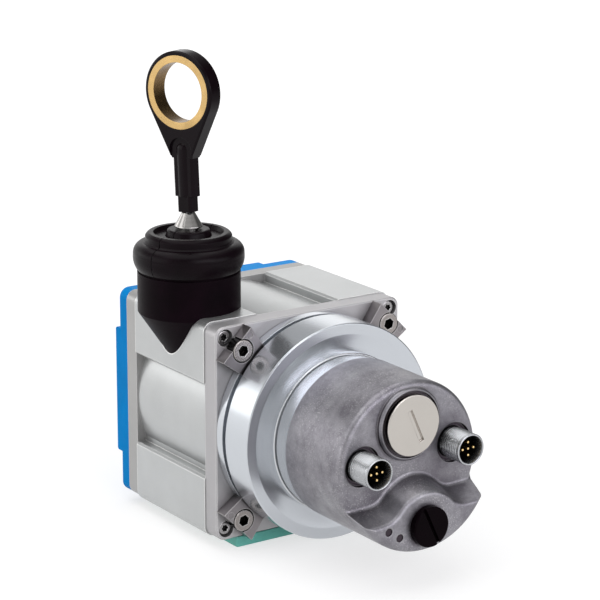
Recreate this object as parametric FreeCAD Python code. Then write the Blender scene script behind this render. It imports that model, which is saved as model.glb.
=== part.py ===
import FreeCAD, Part
import math
import os

V = FreeCAD.Vector
os.makedirs("parts", exist_ok=True)

# Draw wire encoder. Millimetres, +Z up along the pulled wire, -Y towards the encoder.
# The origin is the middle of the base pad's underside.

# Square body
body_side = 84.4
body_depth = 65.3
front_plate_thick = 7.7
rear_plate_thick = 7.0
plate_corner_radius = 4.0
plate_edge_chamfer = 0.5
land_proud = 0.4
window_width = 36.4
window_chamfer = 0.9
window_ledge_depth = 4.1
barrel_radius = 41.7
barrel_wall = 4.8
pad_width = 66.0
pad_thick = 4.05
pad_edge = 0.8

# Drum, wire and shaft
wire_diameter = 1.35
wire_offset = 33.5
wire_hole_radius = 3.0
drum_flange_gap = 0.7
drum_flange_thick = 2.5
drum_width = 40.0
drum_rim_thick = 3.2
drum_web_thick = 6.0
drum_hole_count = 6
drum_hole_radius = 6.0
winding_width = 17.0
winding_inset = 0.35
hub_radius = 12.0
shaft_radius = 8.0
journal_radius = 6.0
shaft_tip_radius = 5.0
shaft_tip_length = 5.6
bearing_outer_radius = 12.0
bearing_width = 6.0
race_thick = 1.7
ball_radius = 1.3
ball_count = 8
ball_clearance = 0.05

# Spring cover and power spring
cover_thick = 5.2
cover_raise = 3.6
cover_strip = 51.2
cover_bevel = 0.6
cover_wall = 1.9
spring_case_radius = 23.6
spring_turns = 6
spring_strip = 0.7
spring_gap = 0.6
arbor_radius = 7.0
arbor_end_gap = 0.6
coupling_start = 0.6
coupling_end = 13.4
coupling_hub_radius = 7.8
bellows_crest = 8.6
bellows_root = 6.3
bellows_pitch = 2.0
bellows_count = 3

# Mounting flange and its clamps
lip_radius = 42.0
lip_start = 0.3
lip_end = 4.0
groove_radius = 38.2
flange_radius = 42.3
flange_start = 6.7
flange_end = 21.0
flange_edge = 0.4
flange_dish_radius = 38.0
flange_dish_depth = 0.5
pilot_radius = 30.0
pilot_depth = 2.0
coupling_space_radius = 14.0
clamp_screw_offset = 5.4
clamp_half_angle = 9.6
clamp_outer = 3.6
clamp_thick = 5.6
clamp_gap = 0.15
clamp_heel = 1.2
clamp_dimple_radius = 1.3
clamp_dimple_x = 6.1
clamp_dimple_y = 1.9
clamp_dimple_depth = 0.25
clamp_screw_radius = 2.5
clamp_screw_head_radius = 4.25
clamp_screw_head_height = 5.0
clamp_screw_length = 10.0
clamp_counterbore_gap = 0.35
clamp_counterbore_floor = 0.8
hex_socket_width = 4.0
hex_socket_depth = 2.6

# Small screws
corner_inset = 4.4
corner_screw_radius = 1.5
corner_head_radius = 2.6
corner_head_height = 2.4
corner_bore_radius = 3.3
corner_bore_depth = 3.4
corner_screw_length = 10.0
corner_socket_radius = 1.2
corner_socket_depth = 1.2
thread_spare = 0.4
cover_screw_inset = 8.2
cover_head_radius = 2.8
cover_screw_length = 9.0
pad_screw_radius = 2.0
pad_screw_pitch_x = 50.0
pad_screw_pitch_y = 22.0
pad_head_radius = 3.6
mount_hole_radius = 2.5
mount_pitch_x = 56.0
mount_pitch_y = 40.0
mount_hole_depth = 9.0

# Wire outlet on the top of the body
guide_y = -0.25
guide_radius = 19.8
guide_drop = 1.2
guide_top = 103.8
guide_tip_height = 71.3
guide_foot = 66.5
guide_gap = 0.05
bush_radius = 5.0
bush_bore_radius = 1.3
bush_length = 10.0
bush_flare = 1.2
wiper_length = 4.0
wiper_bore_radius = 0.95
seam_depth = 0.7
seam_height = 0.9
bead_radius = 21.3
bead_rise = 5.9
bead_top_rise = 10.3
ring_radius = 16.6
ring_rise = 14.2
ring_round = 1.4
dish_radius = 12.7
dish_depth = 1.6
boss_radius = 8.3
boss_rise = 15.3
seat_clearance = 0.3
bumper_bore_radius = 2.0
bumper_split_gap = 0.3
bumper_split_turn = 17.0

# Wire end, clip and eye
cone_base_radius = 5.3
cone_rise = 0.8
cone_lip = 0.5
cone_top_radius = 2.45
cone_height = 5.6
cone_seat_depth = 2.2
cone_seat_radius = 3.6
clip_turn = 20.6
clip_lean = 2.6
pin_radius = 1.2
pin_head_radius = 2.0
pin_head_length = 2.5
pin_reach = 20.0
pin_clearance = 0.06
collar_gap = 0.35
collar_width = 6.6
collar_depth = 5.6
collar_height = 6.0
stem_width = 9.4
stem_depth = 5.0
stem_height = 15.2
tube_radius = 3.4
tube_end = 24.5
arch_radius = 5.1
arch_height = 24.0
arch_web = 4.8
eye_height = 46.2
eye_radius = 15.6
eye_thick = 6.7
eye_edge = 0.6
eye_bush_radius = 14.0
eye_bore_radius = 11.35

# Rotary encoder
encoder_turn = 2.4
encoder_rim_radius = 31.0
encoder_rim_start = 20.6
encoder_rim_end = 22.4
encoder_neck_radius = 30.2
encoder_neck_groove = 0.7
encoder_spigot_radius = 24.0
encoder_spigot_end = 13.0
encoder_register = 7.0
cast_radius = 31.1
cast_start = 30.3
cast_wall = 3.2
face_height = 64.5
nose_rise = 10.5
nose_draft = 4.0
nose_shoulder = -12.9
nose_crown = -4.6
crown_radius = 16.0
valley_radius = 9.0
rim_round = 2.4
nose_round = 2.8
nose_foot_round = 1.6
nose_edge_round = 1.8
encoder_shaft_radius = 5.0
encoder_bearing_radius = 11.0
encoder_bearing_width = 5.0
disc_hub_radius = 9.0
disc_radius = 22.0
disc_thick = 1.2
disc_height = 40.0
board_radius = 26.5
board_thick = 1.6
board_height = 45.0
chip_length = 9.0
chip_width = 7.0
chip_height = 2.2
chip_place = 12.0
board_hole_radius = 7.0
seal_section = 1.0

# Connectors, plugs and lamps on the encoder's face
connector_spacing = 41.2
connector_rise = 3.3
connector_radius = 6.0
connector_bore_radius = 5.25
connector_seat_radius = 7.6
connector_seat_depth = 1.8
connector_well = 7.0
connector_edge = 0.25
connector_inside = 1.5
contact_radius = 0.5
contact_circle = 2.5
contact_inset = 1.6
connector_key_turn = 150.0
plug_y = 15.35
plug_radius = 11.55
plug_height = 3.6
plug_boss_radius = 13.8
plug_boss_wall = 1.1
plug_boss_height = 1.9
plug_boss_bevel = 0.8
plug_thread_radius = 10.0
plug_slot_length = 13.6
plug_slot_width = 2.1
plug_slot_depth = 0.9
plug_slot_turn = 22.0
plug_slot_x = 1.0
plug_slot_y = -0.4
service_plug_y = -21.0
service_plug_radius = 7.7
service_plug_height = 3.0
service_thread_radius = 5.4
service_thread_length = 8.0
service_slot_width = 1.4
service_slot_depth = 1.3
service_slot_turn = 23.0
lamp_radius = 1.55
lamp_inset = 0.4
lamp_depth = 5.0
lamp_places = [(-17.1, -19.6), (-12.3, -23.0)]

# Worked out from the driving dimensions
front_y = -body_depth / 2
axis_z = pad_thick + body_side / 2
body_top = pad_thick + body_side
land_face = body_side / 2 + land_proud
chamber_radius = barrel_radius - barrel_wall
chamber_start = -front_plate_thick
chamber_end = -(body_depth - rear_plate_thick)
drum_middle = front_y - guide_y
drum_core_radius = wire_offset - wire_diameter / 2
drum_flange_radius = chamber_radius - drum_flange_gap
guide_bottom = body_top - guide_drop
clamp_circle = lip_radius + clamp_screw_offset
corner_pitch = body_side - 2 * corner_inset
cover_screw_pitch = body_side - 2 * cover_screw_inset
bead_height = guide_top + bead_rise
bead_top = guide_top + bead_top_rise
ring_top = guide_top + ring_rise
boss_top = guide_top + boss_rise
cone_base_height = boss_top + cone_rise
cast_inner = cast_radius - cast_wall
cast_floor = face_height - cast_wall
nose_height = face_height + nose_rise
plug_top = face_height + plug_height
connector_top = nose_height


def disc(radius, low, high):
    """Cylinder about the Z axis between two heights."""
    return Part.makeCylinder(radius, high - low, V(0, 0, low))


def tube(outer, inner, low, high):
    return disc(outer, low, high).cut(disc(inner, low - 1, high + 1))


def ring_wire(points, place):
    """Closed wire of straight runs, each a pair, and arcs, each a point on the way and an end."""
    edges = []
    here = points[0][-2:]
    for step in list(points[1:]) + [points[0][-2:]]:
        there = step[-2:]
        if len(step) == 4:
            edges.append(Part.Arc(place(here), place(step[:2]), place(there)).toShape())
        elif math.dist(here, there) > 1e-6:
            edges.append(Part.LineSegment(place(here), place(there)).toShape())
        here = there
    return Part.Wire(edges)


def turned(points):
    """Solid of revolution about the Z axis from (radius, height) points."""
    wire = ring_wire(points, lambda p: V(p[0], 0, p[1]))
    return Part.Face(wire).revolve(V(0, 0, 0), V(0, 0, 1), 360)


def plate(points, low, high):
    """Flat piece with an outline in X and Y between two heights."""
    wire = ring_wire(points, lambda p: V(p[0], p[1], low))
    return Part.Face(wire).extrude(V(0, 0, high - low))


def rounded_square(side, radius, low, high):
    box = Part.makeBox(side, side, high - low, V(-side / 2, -side / 2, low))
    upright = [e for e in box.Edges if abs(e.Vertexes[0].Z - e.Vertexes[1].Z) > 1e-6]
    return box.makeFillet(radius, upright)


def edges_at(shape, height, tolerance=1e-4):
    """Edges that lie flat at one height."""
    return [e for e in shape.Edges
            if abs(e.BoundBox.ZMin - height) < tolerance and abs(e.BoundBox.ZMax - height) < tolerance]


def corners(pitch_x, pitch_y=None):
    pitch_y = pitch_x if pitch_y is None else pitch_y
    return [(sx * pitch_x / 2, sy * pitch_y / 2) for sx in (-1, 1) for sy in (-1, 1)]


def moved(shape, x=0.0, y=0.0, z=0.0):
    copy = shape.copy()
    copy.translate(V(x, y, z))
    return copy


def turned_by(shape, degrees, axis=V(0, 0, 1), centre=V(0, 0, 0)):
    copy = shape.copy()
    copy.rotate(centre, axis, degrees)
    return copy


def on_axis(shape):
    """From the drum's frame, with z out of the front plate and y up, to the row's frame."""
    copy = turned_by(shape, 90, V(1, 0, 0))
    copy.translate(V(0, front_y, axis_z))
    return copy


def on_encoder(shape):
    """As on_axis, with the encoder's own small turn in its clamps."""
    return on_axis(turned_by(shape, encoder_turn))


def save(name, solids, place=None):
    solids = solids if isinstance(solids, list) else [solids]
    solids = [s for shape in solids for s in shape.Solids]
    if place:
        solids = [place(s) for s in solids]
    bad = [s for s in solids if not s.isValid() or s.Volume <= 0]
    shape = solids[0] if len(solids) == 1 else Part.makeCompound(solids)
    shape.exportStep("parts/" + name + ".step")
    print(name, len(solids), "solids", round(sum(s.Volume for s in solids) / 1000, 2), "cm3",
          "BAD" if bad else "")


# Body of plates and drum housing

def front_plate():
    shape = rounded_square(body_side, plate_corner_radius, -front_plate_thick, 0)
    shape = shape.makeChamfer(plate_edge_chamfer, edges_at(shape, 0))
    shape = shape.cut(disc(pilot_radius + guide_gap, -pilot_depth, 1))
    shape = shape.cut(disc(shaft_radius + 1, -front_plate_thick - 1, 1))
    shape = shape.cut(disc(bearing_outer_radius, -front_plate_thick - 1, -front_plate_thick + bearing_width))
    for x, y in corners(corner_pitch):
        shape = shape.cut(moved(disc(corner_bore_radius, -corner_bore_depth, 1), x, y))
        shape = shape.cut(moved(disc(corner_screw_radius, -front_plate_thick - 1, 1), x, y))
    for x, y in corners(clamp_circle * math.sqrt(2)):
        shape = shape.cut(moved(disc(clamp_screw_radius, -front_plate_thick - 1, 1), x, y))
    return shape


def window_cutter():
    """Window in one face of the drum housing, with its outer edges broken. The barrel stands up in it."""
    half = window_width / 2
    deep = land_face - window_ledge_depth
    side = [(half + window_chamfer + 1, land_face + 1), (half + window_chamfer, land_face),
            (half, land_face - window_chamfer), (half, deep)]
    outline = side + [(-x, y) for x, y in reversed(side)]
    return plate(outline, chamber_end - 1, chamber_start + 1)


def guide_pocket(clearance):
    """Round pocket and cone that hold the wire guide, about the wire's own line."""
    slope = (guide_bottom - guide_tip_height) / (guide_radius - (land_face - wire_offset))
    foot_radius = guide_radius - (guide_bottom - guide_foot) / slope
    return turned([(0, guide_foot - clearance), (foot_radius + clearance, guide_foot - clearance),
                   (guide_radius + clearance, guide_bottom - clearance),
                   (guide_radius + clearance, guide_top), (0, guide_top)])


def at_wire(shape):
    return moved(shape, -wire_offset, guide_y)


def drum_housing():
    shape = rounded_square(2 * land_face, plate_corner_radius, chamber_end, chamber_start)
    for quarter in range(4):
        shape = shape.cut(turned_by(window_cutter(), 90 * quarter))
    shape = shape.fuse(disc(barrel_radius, chamber_end, chamber_start))
    shape = shape.cut(disc(chamber_radius, chamber_end - 1, chamber_start + 1))
    front_depth = corner_bore_depth + corner_screw_length + thread_spare
    for x, y in corners(corner_pitch):
        shape = shape.cut(moved(disc(corner_screw_radius, -front_depth, chamber_start + 1), x, y))
        shape = shape.cut(moved(disc(corner_screw_radius, chamber_end - 1, front_depth - body_depth), x, y))
    clamp_reach = clamp_screw_length + 1 - clamp_counterbore_floor
    for x, y in corners(clamp_circle * math.sqrt(2)):
        shape = shape.cut(moved(disc(clamp_screw_radius, -clamp_reach, chamber_start + 1), x, y))
    shape = on_axis(shape)
    # The pad and the flat that it seats on
    flat = Part.makeBox(pad_width, body_depth, land_proud, V(-pad_width / 2, front_y, pad_thick - land_proud))
    shape = shape.cut(flat)
    shape = shape.cut(at_wire(guide_pocket(guide_gap)))
    shape = shape.cut(at_wire(disc(wire_hole_radius, axis_z, guide_top)))
    for x, y in corners(mount_pitch_x, mount_pitch_y):
        shape = shape.cut(moved(disc(mount_hole_radius, 0, pad_thick + mount_hole_depth), x, y))
    for x, y in corners(pad_screw_pitch_x, pad_screw_pitch_y):
        shape = shape.cut(moved(disc(pad_screw_radius, 0, pad_thick + mount_hole_depth), x, y))
    return shape


def rear_plate():
    low = -body_depth
    shape = rounded_square(body_side, plate_corner_radius, low, chamber_end)
    shape = shape.cut(disc(shaft_radius + 1, low - 1, chamber_end + 1))
    shape = shape.cut(disc(bearing_outer_radius, chamber_end - bearing_width, chamber_end + 1))
    for x, y in corners(corner_pitch):
        shape = shape.cut(moved(disc(corner_screw_radius, low - 1, chamber_end + 1), x, y))
        shape = shape.cut(moved(disc(corner_bore_radius, low - 1, low + corner_bore_depth), x, y))
    for x, y in corners(cover_screw_pitch):
        shape = shape.cut(moved(disc(corner_screw_radius, low - 1, chamber_end + 1), x, y))
    return shape


def base_pad():
    """Base pad with countersunk screws and four holes that let mounting screws into the body."""
    shape = Part.makeBox(pad_width, body_depth, pad_thick, V(-pad_width / 2, front_y, 0))
    upright = [e for e in shape.Edges if abs(e.Vertexes[0].Z - e.Vertexes[1].Z) > 1e-6]
    shape = shape.makeFillet(pad_edge, upright)
    for x, y in corners(mount_pitch_x, mount_pitch_y):
        shape = shape.cut(moved(disc(mount_hole_radius, -1, pad_thick + 1), x, y))
    for x, y in corners(pad_screw_pitch_x, pad_screw_pitch_y):
        shape = shape.cut(moved(disc(pad_screw_radius, -1, pad_thick + 1), x, y))
        shape = shape.cut(moved(countersunk_head(pad_head_radius, pad_screw_radius), x, y))
    return shape


def countersunk_head(head_radius, screw_radius):
    """Cone of a countersunk head whose flat is at zero height."""
    height = head_radius - screw_radius
    return turned([(0, 0), (head_radius, 0), (screw_radius, height), (0, height)])


def socket_cutter(radius, depth, height):
    """Hexagonal or star socket sunk into a head from its flat at a height."""
    return Part.Face(Part.makePolygon(
        [V(radius * math.cos(math.radians(a)), radius * math.sin(math.radians(a)), height)
         for a in range(0, 361, 60)])).extrude(V(0, 0, -depth))


def plate_screws():
    """Screws of both end plates, in the corner counterbores."""
    floor = -corner_bore_depth
    screw = disc(corner_head_radius, floor, floor + corner_head_height)
    screw = screw.fuse(disc(corner_screw_radius, floor - corner_screw_length, floor))
    screw = screw.cut(socket_cutter(corner_socket_radius, corner_socket_depth, floor + corner_head_height))
    front = [moved(screw, x, y) for x, y in corners(corner_pitch)]
    flipped = turned_by(screw, 180, V(0, 1, 0))
    rear = [moved(flipped, x, y, -body_depth) for x, y in corners(corner_pitch)]
    return front + rear


def cover_screws():
    """Countersunk screws of the spring cover."""
    low = -(body_depth + cover_thick)
    screw = countersunk_head(cover_head_radius, corner_screw_radius)
    screw = screw.fuse(disc(corner_screw_radius, 0, cover_screw_length))
    screw = screw.cut(turned_by(socket_cutter(corner_socket_radius, corner_socket_depth, 0), 180, V(0, 1, 0)))
    return [moved(screw, x, y, low) for x, y in corners(cover_screw_pitch)]


def pad_screws():
    screw = countersunk_head(pad_head_radius, pad_screw_radius)
    screw = screw.fuse(disc(pad_screw_radius, 0, pad_thick + mount_hole_depth - 1))
    screw = screw.cut(turned_by(socket_cutter(corner_socket_radius, corner_socket_depth, 0), 180, V(0, 1, 0)))
    return [moved(screw, x, y) for x, y in corners(pad_screw_pitch_x, pad_screw_pitch_y)]


def spring_cover():
    """Cover over the power spring: a square plate with a raised cross out to its edges."""
    low = -(body_depth + cover_thick)
    top = low - cover_raise
    shape = rounded_square(body_side, plate_corner_radius, low, -body_depth)
    half = body_side / 2
    cross = []
    for quarter in range(2):
        strip = Part.makeBox(body_side, cover_strip, cover_raise, V(-half, -cover_strip / 2, top))
        long_edges = [e for e in edges_at(strip, top) if e.BoundBox.XLength > cover_strip]
        strip = strip.makeChamfer(cover_bevel, long_edges)
        cross.append(turned_by(strip, 90 * quarter))
    shape = shape.fuse(cross[0]).fuse(cross[1]).removeSplitter()
    shape = shape.cut(disc(spring_case_radius, top + cover_wall, -body_depth + 1))
    for x, y in corners(cover_screw_pitch):
        shape = shape.cut(moved(disc(corner_screw_radius, low - 1, 0), x, y))
        shape = shape.cut(moved(countersunk_head(cover_head_radius, corner_screw_radius), x, y, low))
    return shape


# Drum and shaft

def drum():
    """Thin-walled drum with two flanges on a drilled web."""
    low = -drum_width / 2
    high = drum_width / 2
    inner = drum_core_radius - drum_rim_thick
    web = drum_web_thick / 2
    half = winding_width / 2 + drum_flange_thick
    shape = turned([(shaft_radius, low), (hub_radius, low), (hub_radius, -web), (inner, -web),
                    (inner, -half), (drum_flange_radius, -half), (drum_flange_radius, -winding_width / 2),
                    (drum_core_radius, -winding_width / 2), (drum_core_radius, winding_width / 2),
                    (drum_flange_radius, winding_width / 2), (drum_flange_radius, half), (inner, half),
                    (inner, web), (hub_radius, web), (hub_radius, high), (shaft_radius, high)])
    circle = (hub_radius + inner) / 2
    for number in range(drum_hole_count):
        hole = moved(disc(drum_hole_radius, low, high), circle)
        shape = shape.cut(turned_by(hole, 360 / drum_hole_count * number))
    return moved(shape, z=drum_middle)


def wire_winding():
    """Outer form of the turns of wire on the drum."""
    half = winding_width / 2 - winding_inset
    outer = wire_offset + wire_diameter / 2
    return moved(tube(outer, drum_core_radius, -half, half), z=drum_middle)


def drum_shaft():
    """Stepped shaft: tip, front journal, drum seat, rear journal and spring arbor with its hook slot."""
    front_seat = -front_plate_thick + 0.3
    rear_seat = chamber_end - 0.3
    tip_start = -front_plate_thick + bearing_width
    rear_journal_end = chamber_end - bearing_width
    arbor_end = -(body_depth + cover_thick + cover_raise - cover_wall - arbor_end_gap)
    shape = turned([(0, arbor_end), (arbor_radius, arbor_end), (arbor_radius, rear_journal_end - 0.2),
                    (journal_radius, rear_journal_end - 0.2), (journal_radius, rear_seat + 0.3),
                    (shaft_radius, rear_seat + 0.3), (shaft_radius, front_seat - 0.3),
                    (journal_radius, front_seat - 0.3), (journal_radius, tip_start),
                    (shaft_tip_radius, tip_start), (shaft_tip_radius, tip_start + shaft_tip_length),
                    (0, tip_start + shaft_tip_length)])
    return shape


def bearing_seats():
    """Low and high ends of the two bearings of the drum shaft."""
    return [(-front_plate_thick, -front_plate_thick + bearing_width),
            (chamber_end - bearing_width, chamber_end)]


def race(outer, inner, low, high, ball_circle):
    """One bearing ring with its ball groove."""
    groove = Part.makeTorus(ball_circle, ball_radius + ball_clearance, V(0, 0, (low + high) / 2))
    return tube(outer, inner, low, high).cut(groove)


def bearing_rings(outer_side):
    circle = (bearing_outer_radius + journal_radius) / 2
    rings = []
    for low, high in bearing_seats():
        if outer_side:
            rings.append(race(bearing_outer_radius, bearing_outer_radius - race_thick, low, high, circle))
        else:
            rings.append(race(journal_radius + race_thick, journal_radius, low, high, circle))
    return rings


def bearing_balls():
    circle = (bearing_outer_radius + journal_radius) / 2
    balls = []
    for low, high in bearing_seats():
        for number in range(ball_count):
            ball = Part.makeSphere(ball_radius, V(circle, 0, (low + high) / 2))
            balls.append(turned_by(ball, 360 / ball_count * number))
    return balls


def power_spring():
    """Spiral spring of half-turn arcs between the arbor and the wall of its case."""
    low = -(body_depth + cover_thick + cover_raise - cover_wall) + spring_gap
    high = -body_depth - 0.2
    pitch = (spring_case_radius - spring_gap - arbor_radius - 0.3 - spring_strip) / spring_turns
    start = arbor_radius + 0.3

    def half_turns(extra):
        arcs = []
        here = start + extra
        radius = here - pitch / 4
        side = 1
        for number in range(2 * spring_turns):
            radius += pitch / 2
            centre = here - side * radius
            there = centre - side * radius
            arcs.append((V(here, 0, low), V(centre, side * radius, low), V(there, 0, low)))
            here = there
            side = -side
        return arcs

    inner = half_turns(0.0)
    outer = half_turns(spring_strip)
    edges = [Part.Arc(a, b, c).toShape() for a, b, c in inner]
    edges.append(Part.LineSegment(inner[-1][2], outer[-1][2]).toShape())
    edges += [Part.Arc(c, b, a).toShape() for a, b, c in reversed(outer)]
    edges.append(Part.LineSegment(outer[0][0], inner[0][0]).toShape())
    return Part.Face(Part.Wire(edges)).extrude(V(0, 0, high - low))


def shaft_coupling():
    """Bellows coupling between the drum shaft and the encoder shaft."""
    low = coupling_start
    high = coupling_end
    hub = coupling_hub_radius
    root = bellows_root
    first = (low + high - bellows_pitch * bellows_count) / 2
    last = first + bellows_pitch * bellows_count
    points = [(shaft_tip_radius, low), (hub, low), (hub, first)]
    for number in range(bellows_count):
        base = first + bellows_pitch * number
        points += [(root, base), (root, base + bellows_pitch * 0.25),
                   (bellows_crest, base + bellows_pitch * 0.4), (bellows_crest, base + bellows_pitch * 0.6),
                   (root, base + bellows_pitch * 0.75)]
    points += [(root, last), (hub, last), (hub, high), (shaft_tip_radius, high)]
    return turned(points)


# Mounting flange and servo clamps

def mounting_flange():
    """Turned flange with the gripped lip, its groove and a shallow dish round the encoder."""
    return turned([(coupling_space_radius, -pilot_depth), (pilot_radius, -pilot_depth), (pilot_radius, 0),
                   (lip_radius - lip_start, 0), (lip_radius, lip_start), (lip_radius, lip_end),
                   (groove_radius, lip_end), (groove_radius, flange_start), (flange_radius, flange_start),
                   (flange_radius, flange_end - flange_edge), (flange_radius - flange_edge, flange_end),
                   (flange_dish_radius, flange_end),
                   ((flange_dish_radius + encoder_rim_radius) / 2, flange_end - flange_dish_depth * 0.8,
                    encoder_rim_radius + 0.4, encoder_rim_start),
                   (encoder_spigot_radius, encoder_rim_start), (encoder_spigot_radius, encoder_spigot_end),
                   (coupling_space_radius, encoder_spigot_end)])


def servo_clamp(quarter):
    """Clamp with sides along the radii, a screw in a counterbore and a lip over the flange's edge."""
    inner = groove_radius + clamp_gap + clamp_heel
    outer = clamp_circle + clamp_outer
    spread = math.tan(math.radians(clamp_half_angle))
    block = plate([(inner * spread, inner), (outer * spread, outer), (-outer * spread, outer),
                   (-inner * spread, inner)], 0, clamp_thick)
    block = block.cut(moved(disc(clamp_screw_radius, -1, clamp_thick + 1), y=clamp_circle))
    counterbore = clamp_screw_head_radius + clamp_counterbore_gap
    block = block.cut(moved(disc(counterbore, clamp_counterbore_floor, clamp_thick + 1), y=clamp_circle))
    dimple = disc(clamp_dimple_radius, clamp_thick - clamp_dimple_depth, clamp_thick + 1)
    block = block.cut(moved(dimple, clamp_dimple_x, clamp_circle + clamp_dimple_y))
    block = block.cut(disc(lip_radius + clamp_gap, -1, lip_end + clamp_gap))
    return turned_by(block, 45 + 90 * quarter)


def servo_clamps():
    return [servo_clamp(quarter) for quarter in range(4)]


def clamp_screws():
    floor = clamp_counterbore_floor
    screw = disc(clamp_screw_head_radius, floor, floor + clamp_screw_head_height)
    top = edges_at(screw, floor + clamp_screw_head_height)
    screw = screw.makeFillet(0.4, top)
    screw = screw.fuse(disc(clamp_screw_radius, floor - clamp_screw_length, floor))
    socket = socket_cutter(hex_socket_width / math.sqrt(3), hex_socket_depth, floor + clamp_screw_head_height)
    screw = moved(screw.cut(socket), y=clamp_circle)
    return [turned_by(screw, 45 + 90 * quarter) for quarter in range(4)]


# Wire outlet

def wire_guide():
    """Moulded guide: a cylinder above the body and a cone let into its corner."""
    shape = guide_pocket(0)
    shape = shape.cut(disc(guide_radius + 1, guide_top - seam_height, guide_top + 1))
    neck = guide_radius - seam_depth
    shape = shape.fuse(disc(neck, guide_top - seam_height, guide_top))
    shape = shape.cut(disc(wire_hole_radius, guide_foot - 1, guide_top + 1))
    shape = shape.cut(disc(bush_radius, guide_top - bush_length - wiper_length, guide_top + 1))
    return at_wire(shape)


def guide_bush():
    """Hard bush with a flared mouth that the wire runs through."""
    low = guide_top - bush_length
    mouth = bush_bore_radius + bush_flare
    throat = bush_bore_radius + 0.3 * bush_flare
    shape = turned([(mouth, low), (bush_radius, low), (bush_radius, guide_top), (mouth, guide_top),
                    (throat, guide_top - 0.7 * bush_flare, bush_bore_radius, guide_top - 1.6 * bush_flare),
                    (bush_bore_radius, low + 1.6 * bush_flare),
                    (throat, low + 0.7 * bush_flare, mouth, low)])
    return at_wire(shape)


def wire_wiper():
    """Felt ring that wipes the wire below the bush."""
    low = guide_top - bush_length - wiper_length
    return at_wire(tube(bush_radius, wiper_bore_radius, low, low + wiper_length))


def rubber_bumper():
    """Rubber stop in two halves: a round bead, a rimmed flange and a boss that the wire end seats on."""
    dish_floor = ring_top - dish_depth
    seat = cone_base_height - cone_seat_depth - seat_clearance
    bead_foot = guide_radius + 0.1
    points = [(bumper_bore_radius, guide_top), (bead_foot, guide_top),
              (bead_radius, bead_height - 2.2, bead_radius, bead_height),
              (bead_radius - 0.9, bead_top - 1.5, ring_radius + 0.8, bead_top),
              (ring_radius, bead_top + 0.6), (ring_radius, ring_top - ring_round),
              (ring_radius - 0.42 * ring_round, ring_top - 0.42 * ring_round,
               ring_radius - ring_round, ring_top),
              (dish_radius + 0.8, ring_top), (dish_radius, dish_floor), (boss_radius + 0.6, dish_floor),
              (boss_radius, boss_top - 1.0),
              (boss_radius - 0.3, boss_top - 0.3, boss_radius - 1.0, boss_top),
              (cone_seat_radius + seat_clearance, boss_top), (cone_seat_radius + seat_clearance, seat),
              (bumper_bore_radius, seat)]
    split = Part.makeBox(2 * bead_radius + 2, bumper_split_gap, boss_top - guide_top + 2,
                         V(-bead_radius - 1, -bumper_split_gap / 2, guide_top - 1))
    return at_wire(turned(points).cut(turned_by(split, bumper_split_turn)))


# Wire end and clip

def measuring_wire():
    """Straight run of wire from where it leaves the winding up to the cone."""
    top = cone_base_height - cone_seat_depth
    reach = wire_offset + wire_diameter + winding_inset
    start = axis_z + math.sqrt(reach ** 2 - wire_offset ** 2)
    return at_wire(disc(wire_diameter / 2, start, top))


def wire_ferrule():
    """Polished cone that carries the clip's pin and seats in the rubber stop."""
    low = cone_base_height
    shape = turned([(0, low - cone_seat_depth), (cone_seat_radius, low - cone_seat_depth),
                    (cone_seat_radius, low), (cone_base_radius, low), (cone_base_radius, low + cone_lip),
                    (cone_top_radius, low + cone_height), (0, low + cone_height)])
    return at_wire(shape)


def clip_frame(shape):
    """From the clip's own frame, with its axis along z and its face towards -x, to the row's frame."""
    copy = turned_by(shape, -clip_lean, V(1, 0, 0))
    copy = turned_by(copy, clip_turn)
    copy.translate(V(-wire_offset, guide_y, cone_base_height + cone_height))
    return copy


def swivel_pin():
    """Headed pin in the clip's tube, which lets the clip turn about the wire."""
    low = -cone_height / 2
    shape = disc(pin_radius, low, pin_reach)
    shape = shape.fuse(disc(pin_head_radius, pin_reach, pin_reach + pin_head_length))
    cone = disc(cone_base_radius + 5, -cone_height - 5, 0)
    return clip_frame(shape.cut(turned_by(cone, clip_lean, V(1, 0, 0))))


def eye_outline(radius, half_neck, neck_z):
    """Teardrop outline of the eye: a circle with tangents down to the neck."""
    reach = math.hypot(half_neck, eye_height - neck_z)
    spread = math.acos(radius / reach) + math.atan2(half_neck, eye_height - neck_z)
    tangent = (radius * math.sin(spread), eye_height - radius * math.cos(spread))
    return [(half_neck, neck_z), tangent, (0, eye_height + radius, -tangent[0], tangent[1]),
            (-half_neck, neck_z)]


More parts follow.
